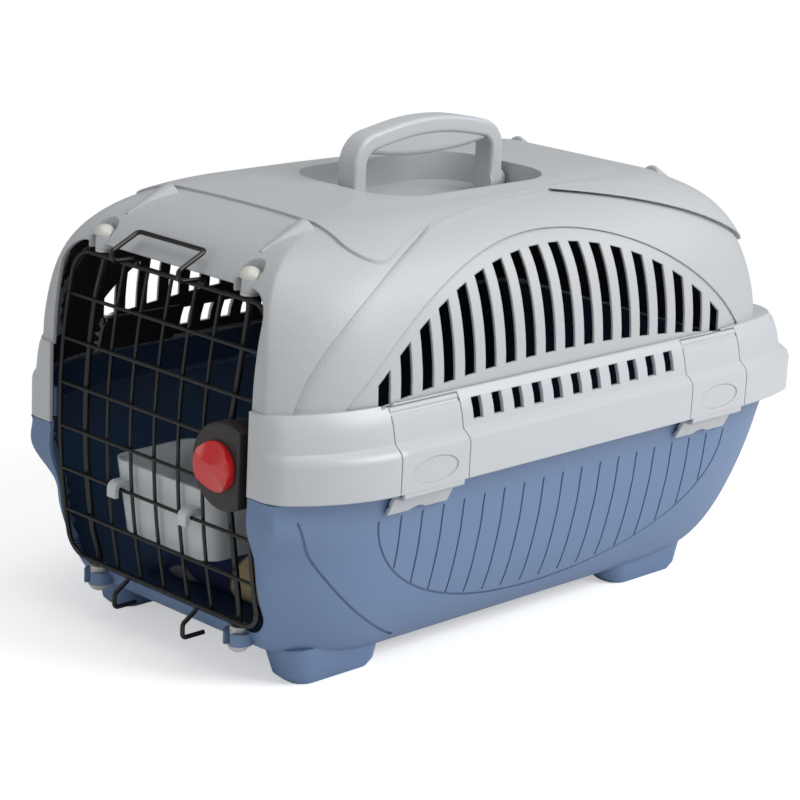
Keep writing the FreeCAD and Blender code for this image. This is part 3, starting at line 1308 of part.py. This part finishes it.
def build():
    nodes = {
        "lower_shell": lower_shell(),
        "upper_shell": upper_shell(),
        "carry_handle": carry_handle(),
        "handle_grip": handle_grip(),
        "handle_pins": handle_pins(),
        "door_frame": door_frame(),
        "door_crossbars": door_crossbars(),
        "door_uprights": door_uprights(),
        "door_hinge_rod": door_hinge_rod(),
        "door_top_loop": door_top_loop(),
        "door_bottom_hooks": door_bottom_hooks(),
        "lock_housing": lock_housing(),
        "lock_back_plate": lock_back_plate(),
        "lock_screws": lock_screws(),
        "lock_knob": lock_knob(),
        "lock_pinion": lock_pinion(),
        "lock_rod_upper": lock_rod(True),
        "lock_rod_lower": lock_rod(False),
        "feeding_bowl": feeding_bowl(),
        "floor_cushion": floor_cushion(),
    }
    for side_name, side in (("left", -1), ("right", 1)):
        for place, middle in (("front", LATCH_FRONT_Y), ("rear", LATCH_REAR_Y)):
            nodes[f"latch_{place}_{side_name}"] = latch(side, middle)
        for level, top in (("upper", True), ("lower", False)):
            nodes[f"bush_{level}_{side_name}"] = bush(side * ROD_X, top)
    return nodes


# The knob stands out in front, so the whole carrier moves back by half of that to be centred
KNOB_FACE = LOCK_FACE - LOCK_FIT - KNOB_HEIGHT
CENTRING = Vector(0, -(KNOB_FACE + RIM_REAR) / 2, 0)

os.makedirs("parts", exist_ok=True)
for name, shape in build().items():
    shape.translate(CENTRING)
    shape.exportStep(f"parts/{name}.step")
    print(name, len(shape.Solids), "solids", round(shape.Volume), "mm3", "valid" if shape.isValid() else "INVALID")
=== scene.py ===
import json
import math

import bmesh
import bpy
from mathutils import Matrix, Vector
from mathutils.bvhtree import BVHTree


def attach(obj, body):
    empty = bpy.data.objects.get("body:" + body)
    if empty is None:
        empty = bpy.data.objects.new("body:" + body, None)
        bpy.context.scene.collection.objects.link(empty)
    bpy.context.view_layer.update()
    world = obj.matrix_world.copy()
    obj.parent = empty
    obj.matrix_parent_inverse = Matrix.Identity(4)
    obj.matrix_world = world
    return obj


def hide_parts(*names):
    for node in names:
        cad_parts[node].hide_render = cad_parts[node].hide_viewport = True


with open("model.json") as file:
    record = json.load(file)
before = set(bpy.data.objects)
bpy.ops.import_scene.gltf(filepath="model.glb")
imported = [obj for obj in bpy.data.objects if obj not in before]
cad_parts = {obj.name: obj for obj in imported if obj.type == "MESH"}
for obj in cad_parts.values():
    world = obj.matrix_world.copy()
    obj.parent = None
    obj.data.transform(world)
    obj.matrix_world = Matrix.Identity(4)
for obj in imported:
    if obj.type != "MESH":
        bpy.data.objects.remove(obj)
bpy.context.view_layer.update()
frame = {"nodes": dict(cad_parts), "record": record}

scene = bpy.context.scene
shiftY = 0.00165  # the carrier's middle in the shared frame


def linear(hexColour):
    # sRGB hex to the linear values that the shaders use
    parts = [int(hexColour[i:i + 2], 16) / 255 for i in (1, 3, 5)]
    return [p / 12.92 if p <= 0.04045 else ((p + 0.055) / 1.055) ** 2.4 for p in parts] + [1.0]


def addNode(tree, kind, settings=None, links=None):
    node = tree.nodes.new(kind)
    for key, value in (settings or {}).items():
        if key in node.inputs:
            node.inputs[key].default_value = value
        else:
            setattr(node, key, value)
    for key, socket in (links or {}).items():
        tree.links.new(socket, node.inputs[key])
    return node


def printColour(tree, place, settings):
    # Scattered pebble shapes in two tones on the ground colour
    ground, tint, mixed = 6, 7, 2  # the colour sockets of a mix node
    apart = (0.013, 0.007)
    result = None
    for i, (tone, cell, low, high) in enumerate(settings["print"]):
        shift = (apart[0] * i, apart[1] * i, 0.0)
        moved = addNode(tree, "ShaderNodeMapping", {"Location": shift}, {"Vector": place})
        cells = addNode(tree, "ShaderNodeTexVoronoi", {"Scale": 1 / cell, "Randomness": 0.8},
                        {"Vector": moved.outputs[0]})
        edge = addNode(tree, "ShaderNodeMapRange",
                       {"From Min": low, "From Max": high, "To Min": 1.0, "To Max": 0.0},
                       {"Value": cells.outputs["Distance"]})
        mix = addNode(tree, "ShaderNodeMix", {"data_type": "RGBA"}, {0: edge.outputs[0]})
        mix.inputs[tint].default_value = linear(tone)
        if result is None:
            mix.inputs[ground].default_value = linear(settings["colour"])
        else:
            tree.links.new(result, mix.inputs[ground])
        result = mix.outputs[mixed]
    return result


def newMaterial(name, settings):
    material = bpy.data.materials.new(name)
    material.use_nodes = True
    tree = material.node_tree
    tree.nodes.clear()
    place = addNode(tree, "ShaderNodeTexCoord").outputs["Object"]
    rounded = addNode(tree, "ShaderNodeBevel", {"samples": 4, "Radius": settings.get("edge", 0.0006)})
    normal = rounded.outputs["Normal"]
    if "grain" in settings:
        grain = addNode(tree, "ShaderNodeTexNoise", {"Scale": 1 / settings["grain"], "Detail": 2.0},
                        {"Vector": place})
        bump = addNode(tree, "ShaderNodeBump",
                       {"Strength": settings["grainStrength"], "Distance": settings["grainDepth"]},
                       {"Height": grain.outputs["Fac"], "Normal": normal})
        normal = bump.outputs["Normal"]
    shader = addNode(tree, "ShaderNodeBsdfPrincipled", {
        "Base Color": linear(settings["colour"]),
        "Roughness": settings.get("roughness", 0.45),
        "Metallic": settings.get("metallic", 0.0),
        "IOR": 1.5,
        "Transmission Weight": settings.get("transmission", 0.0),
        "Specular IOR Level": settings.get("specular", 0.5),
        "Coat Weight": settings.get("coat", 0.0),
        "Coat Roughness": 0.15,
    }, {"Normal": normal})
    if "print" in settings:
        tree.links.new(printColour(tree, place, settings), shader.inputs["Base Color"])
    addNode(tree, "ShaderNodeOutputMaterial", None, {"Surface": shader.outputs["BSDF"]})
    return material


materials = {
    # fine spark grain, so the hood looks duller than the rim under it
    "hood": newMaterial("polypropylene_silver_grained", {
        "colour": "#b0b3b6", "roughness": 0.42, "edge": 0.0014,
        "grain": 0.0011, "grainStrength": 0.6, "grainDepth": 0.0004}),
    # smooth satin moulding with a soft sheen
    "panel": newMaterial("polypropylene_silver_satin", {"colour": "#b7bbbf", "roughness": 0.34, "edge": 0.001}),
    # painted shade: deep grey on the roof's inner walls, so the slots read dark; the real inside is the same silver
    # plastic
    "hoodInsidePaintedShade": newMaterial("painted_shade_grey_inside", {"colour": "#2e2d31", "roughness": 0.6, "specular": 0.2}),
    # dusty blue with a satin sheen
    "tub": newMaterial("polypropylene_blue_satin", {"colour": "#657da0", "roughness": 0.42, "edge": 0.001}),
    # painted shade: dark navy on the tub's inner walls; the real inside is the same blue plastic
    "tubInsidePaintedShade": newMaterial("painted_shade_blue_inside", {"colour": "#2c4260", "roughness": 0.6, "specular": 0.2}),
    # black coat with thin highlights along the wires
    "wire": newMaterial("steel_wire_black_coated", {"colour": "#0d0d0e", "roughness": 0.3, "edge": 0.0003}),
    "lock": newMaterial("abs_charcoal_matte", {"colour": "#2a2627", "roughness": 0.5, "edge": 0.001}),
    # clear glossy red
    "knob": newMaterial("abs_red_gloss", {"colour": "#c4161a", "roughness": 0.22, "coat": 0.5, "edge": 0.001}),
    # milky, slightly see-through
    "bush": newMaterial("nylon_milky_white", {
        "colour": "#dcdcd6", "roughness": 0.35, "transmission": 0.25, "edge": 0.0006}),
    "steel": newMaterial("steel_zinc_plated", {"colour": "#b0b2b4", "roughness": 0.3, "metallic": 1.0}),
    "bowl": newMaterial("polypropylene_frosted_white", {
        "colour": "#dfe5e8", "roughness": 0.45, "transmission": 0.35, "edge": 0.001}),
    # matte cotton, printed with rounded shapes
    "cloth": newMaterial("cotton_navy_print", {
        "colour": "#30385a", "roughness": 0.95, "specular": 0.1, "edge": 0.0002,
        "print": (("#8d8f99", 0.05, 0.3, 0.33), ("#d8c49a", 0.075, 0.36, 0.39)),
        "grain": 0.0007, "grainStrength": 0.5, "grainDepth": 0.0003}),
}
print("materials", len(materials))

nodeMaterial = {
    "lower_shell": ("tub", "tubInsidePaintedShade"),
    "upper_shell": ("hood", "panel", "hoodInsidePaintedShade"),
    "carry_handle": ("panel",),
    "handle_grip": ("panel",),
    "handle_pins": ("steel",),
    "lock_housing": ("lock",),
    "lock_back_plate": ("lock",),
    "lock_screws": ("steel",),
    "lock_knob": ("knob",),
    "lock_pinion": ("bush",),
    "feeding_bowl": ("bowl",),
}
for node in frame["nodes"]:
    if node.startswith("latch_"):
        nodeMaterial[node] = ("panel",)
    elif node.startswith("bush_"):
        nodeMaterial[node] = ("bush",)
    elif node.startswith("door_") or node.startswith("lock_rod"):
        nodeMaterial[node] = ("wire",)

skinForm = {"merge": 2e-6, "sharpDegrees": 28}
bodyOf = {}
for body, members in frame["record"]["behaviour"]["bodies"].items():
    for member in members:
        bodyOf[member] = body


def mergedCopy(node):
    source = frame["nodes"][node].data
    mesh = bpy.data.meshes.new(node + "_skin")
    mesh.from_pydata([v.co[:] for v in source.vertices], [], [p.vertices[:] for p in source.polygons])
    bm = bmesh.new()
    bm.from_mesh(mesh)
    bmesh.ops.remove_doubles(bm, verts=bm.verts, dist=skinForm["merge"])
    return mesh, bm


def addPiece(mesh, node):
    piece = bpy.data.objects.new(node + "_skin", mesh)
    scene.collection.objects.link(piece)
    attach(piece, bodyOf[node])
    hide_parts(node)
    return piece


def smoothSkin(node):
    # Merged copy of a CAD node, shaded smooth except over its real edges
    mesh, bm = mergedCopy(node)
    limit = math.radians(skinForm["sharpDegrees"])
    for face in bm.faces:
        face.smooth = True
    for edge in bm.edges:
        edge.smooth = edge.calc_face_angle(0.0) < limit
    bm.to_mesh(mesh)
    bm.free()
    return addPiece(mesh, node)


# What tells an inner wall of the shells from an outer one; the inner walls get the painted shade
innerWall = {"heartHalf": 0.13, "lift": 0.0004, "thickness": 0.009, "reach": 0.6, "cabinWidth": 0.06, "facing": -0.5,
             "frontEdge": -0.212}
hoodForm = {"heart": 0.17, "ledge": 0.1815, "pocketFloor": 0.255, "pocketHalf": 0.075, "pocketFacing": -0.5}
tubForm = {"heart": 0.15}


def facesInward(tree, middle, normal, heartZ):
    # True on the inner walls: the way out meets the wall at once, and the way in crosses the cabin
    test = innerWall
    heart = Vector((0, max(-test["heartHalf"], min(test["heartHalf"], middle.y)), heartZ))
    out = (middle - heart).normalized()
    start = middle + normal * test["lift"]
    across = tree.ray_cast(start, normal, test["reach"])[3]
    opposite = normal.dot(out) < test["facing"] if across is None else across > test["cabinWidth"]
    return opposite and tree.ray_cast(start, out, test["thickness"])[0] is not None


def behindFront(middle):
    return middle.y - shiftY > innerWall["frontEdge"]


# Material index: 0 grained hood, 1 satin rim below the ledge, 2 painted shade on the inner walls
def roofFinishAndShade(tree, middle, normal):
    form = hoodForm
    overPocket = middle.z > form["pocketFloor"] and abs(middle.x) < form["pocketHalf"]
    inPocket = overPocket and normal.z > form["pocketFacing"]
    if behindFront(middle) and not inPocket and facesInward(tree, middle, normal, form["heart"]):
        return 2
    return 1 if middle.z < form["ledge"] else 0


# Material index: 0 blue tub, 1 painted shade on the inner walls
def tubShadeIndex(tree, middle, normal):
    return 1 if behindFront(middle) and facesInward(tree, middle, normal, tubForm["heart"]) else 0


skins = {node: smoothSkin(node) for node in sorted(nodeMaterial)}
for node, piece in skins.items():
    for name in nodeMaterial[node]:
        piece.data.materials.append(materials[name])

finishesAndShade = {"upper_shell": roofFinishAndShade, "lower_shell": tubShadeIndex}
corners = []
sides = []
for node in finishesAndShade:
    mesh = skins[node].data
    sides += [[len(corners) + i for i in polygon.vertices] for polygon in mesh.polygons]
    corners += [vertex.co for vertex in mesh.vertices]
cabin = BVHTree.FromPolygons(corners, sides)
# The inner walls of both shells take the painted shade material
for node, finishAndShade in finishesAndShade.items():
    for polygon in skins[node].data.polygons:
        polygon.material_index = finishAndShade(cabin, polygon.center, polygon.normal)
print("skins", len(nodeMaterial))

cushion = {"voxel": 0.005, "shrink": 0.965, "pressure": 4.0, "frames": 20, "cap": 0.006}


def swollenPad(node, settings):
    # Pad blown up a little by cloth pressure, flat where it rests
    mesh, bm = mergedCopy(node)
    low = min(v.co.z for v in bm.verts)
    centre = sum((v.co for v in bm.verts), Vector()) / len(bm.verts)
    for v in bm.verts:
        v.co = centre + (v.co - centre) * settings["shrink"]
        v.co.z = max(v.co.z, low)
    bm.to_mesh(mesh)
    bm.free()
    piece = addPiece(mesh, node)
    remesh = piece.modifiers.new("remesh", "REMESH")
    remesh.mode = "VOXEL"
    remesh.voxel_size = settings["voxel"]
    graph = bpy.context.evaluated_depsgraph_get()
    start = bpy.data.meshes.new_from_object(piece.evaluated_get(graph))
    piece.modifiers.clear()
    piece.data = start
    rest = [v.co.copy() for v in start.vertices]
    cloth = piece.modifiers.new("cloth", "CLOTH")
    cloth.settings.use_pressure = True
    cloth.settings.uniform_pressure_force = settings["pressure"]
    cloth.settings.effector_weights.gravity = 0
    for step in range(1, settings["frames"] + 1):
        scene.frame_set(step)
    graph = bpy.context.evaluated_depsgraph_get()
    blown = piece.evaluated_get(graph).data
    moved = [v.co.copy() for v in blown.vertices]
    piece.modifiers.clear()
    scene.frame_set(1)
    for vertex, was, now in zip(start.vertices, rest, moved):
        step = now - was
        if step.length > settings["cap"]:
            step *= settings["cap"] / step.length
        vertex.co = was + step
        vertex.co.z = max(vertex.co.z, low)
    for polygon in start.polygons:
        polygon.use_smooth = True
    smoothing = piece.modifiers.new("smoothing", "SUBSURF")
    smoothing.levels = 1
    smoothing.render_levels = 1
    return piece


pad = swollenPad("floor_cushion", cushion)
pad.data.materials.append(materials["cloth"])
print("cushion", len(pad.data.polygons))

# Camera, as found from the photo's vanishing lines
view = {
    "place": (1.1559, -1.1934 + shiftY, 0.6024),
    "right": (0.70343, 0.70915, 0.04774),
    "up": (-0.22796, 0.16149, 0.96018),
    "ahead": (-0.67321, 0.68631, -0.27526),
    "lens": 116.28,
    "sensor": 36,
}
cameraData = bpy.data.cameras.new("camera")
cameraData.lens = view["lens"]
cameraData.sensor_width = view["sensor"]
camera = bpy.data.objects.new("camera", cameraData)
scene.collection.objects.link(camera)
turn = Matrix((view["right"], view["up"], [-a for a in view["ahead"]])).transposed()
camera.matrix_world = Matrix.Translation(view["place"]) @ turn.to_4x4()
scene.camera = camera

# Floor that fades to white away from the carrier
stage = {"half": 12, "paper": (0.85, 0.85, 0.85, 1), "white": (1, 1, 1, 1), "lift": 0.45, "fadeFrom": 0.3,
         "fadeTo": 0.75, "dome": 0.34}
floorMesh = bpy.data.meshes.new("floor")
bm = bmesh.new()
bmesh.ops.create_grid(bm, x_segments=1, y_segments=1, size=stage["half"])
bm.to_mesh(floorMesh)
bm.free()
floor = bpy.data.objects.new("floor", floorMesh)
scene.collection.objects.link(floor)
floorPaint = bpy.data.materials.new("paper_white_matte")
floorPaint.use_nodes = True
tree = floorPaint.node_tree
tree.nodes.clear()
paper = addNode(tree, "ShaderNodeBsdfDiffuse", {"Color": stage["paper"]})
lift = addNode(tree, "ShaderNodeEmission", {"Color": stage["white"], "Strength": stage["lift"]})
white = addNode(tree, "ShaderNodeEmission", {"Color": stage["white"], "Strength": 1.0})
lifted = addNode(tree, "ShaderNodeAddShader", None, {0: paper.outputs[0], 1: lift.outputs[0]})
place = addNode(tree, "ShaderNodeTexCoord").outputs["Object"]
far = addNode(tree, "ShaderNodeVectorMath", {"operation": "LENGTH"}, {0: place})
fade = addNode(tree, "ShaderNodeMapRange", {"From Min": stage["fadeFrom"], "From Max": stage["fadeTo"]},
               {"Value": far.outputs["Value"]})
seen = addNode(tree, "ShaderNodeMixShader", None,
               {0: fade.outputs[0], 1: lifted.outputs[0], 2: white.outputs[0]})
path = addNode(tree, "ShaderNodeLightPath")
shown = addNode(tree, "ShaderNodeMixShader", None,
                {0: path.outputs["Is Camera Ray"], 1: paper.outputs[0], 2: seen.outputs[0]})
addNode(tree, "ShaderNodeOutputMaterial", None, {"Surface": shown.outputs[0]})
floorMesh.materials.append(floorPaint)

world = bpy.data.worlds.new("studio")
scene.world = world
world.use_nodes = True
tree = world.node_tree
tree.nodes.clear()
dome = addNode(tree, "ShaderNodeBackground", {"Color": stage["white"], "Strength": stage["dome"]})
white = addNode(tree, "ShaderNodeBackground", {"Color": stage["white"], "Strength": 1.0})
path = addNode(tree, "ShaderNodeLightPath")
mix = addNode(tree, "ShaderNodeMixShader", None,
              {0: path.outputs["Is Camera Ray"], 1: dome.outputs[0], 2: white.outputs[0]})
addNode(tree, "ShaderNodeOutputWorld", None, {"Surface": mix.outputs[0]})


def areaLight(name, place, target, size, power):
    data = bpy.data.lights.new(name, "AREA")
    data.shape = "RECTANGLE"
    data.size = size[0]
    data.size_y = size[1]
    data.energy = power
    light = bpy.data.objects.new(name, data)
    scene.collection.objects.link(light)
    light.location = place
    light.rotation_euler = (Vector(target) - Vector(place)).to_track_quat("-Z", "Y").to_euler()


areaLight("sideSoftbox", (1.35, 0.65, 1.15), (0, 0, 0.15), (1.2, 0.9), 25)
areaLight("topSoftbox", (0.2, -0.2, 1.6), (0, 0, 0.2), (1.0, 1.0), 8)
areaLight("frontSoftbox", (-0.1, -1.8, 0.6), (0, 0, 0.15), (1.0, 0.8), 4)
print("lights", 3)

scene.view_settings.view_transform = "Standard"
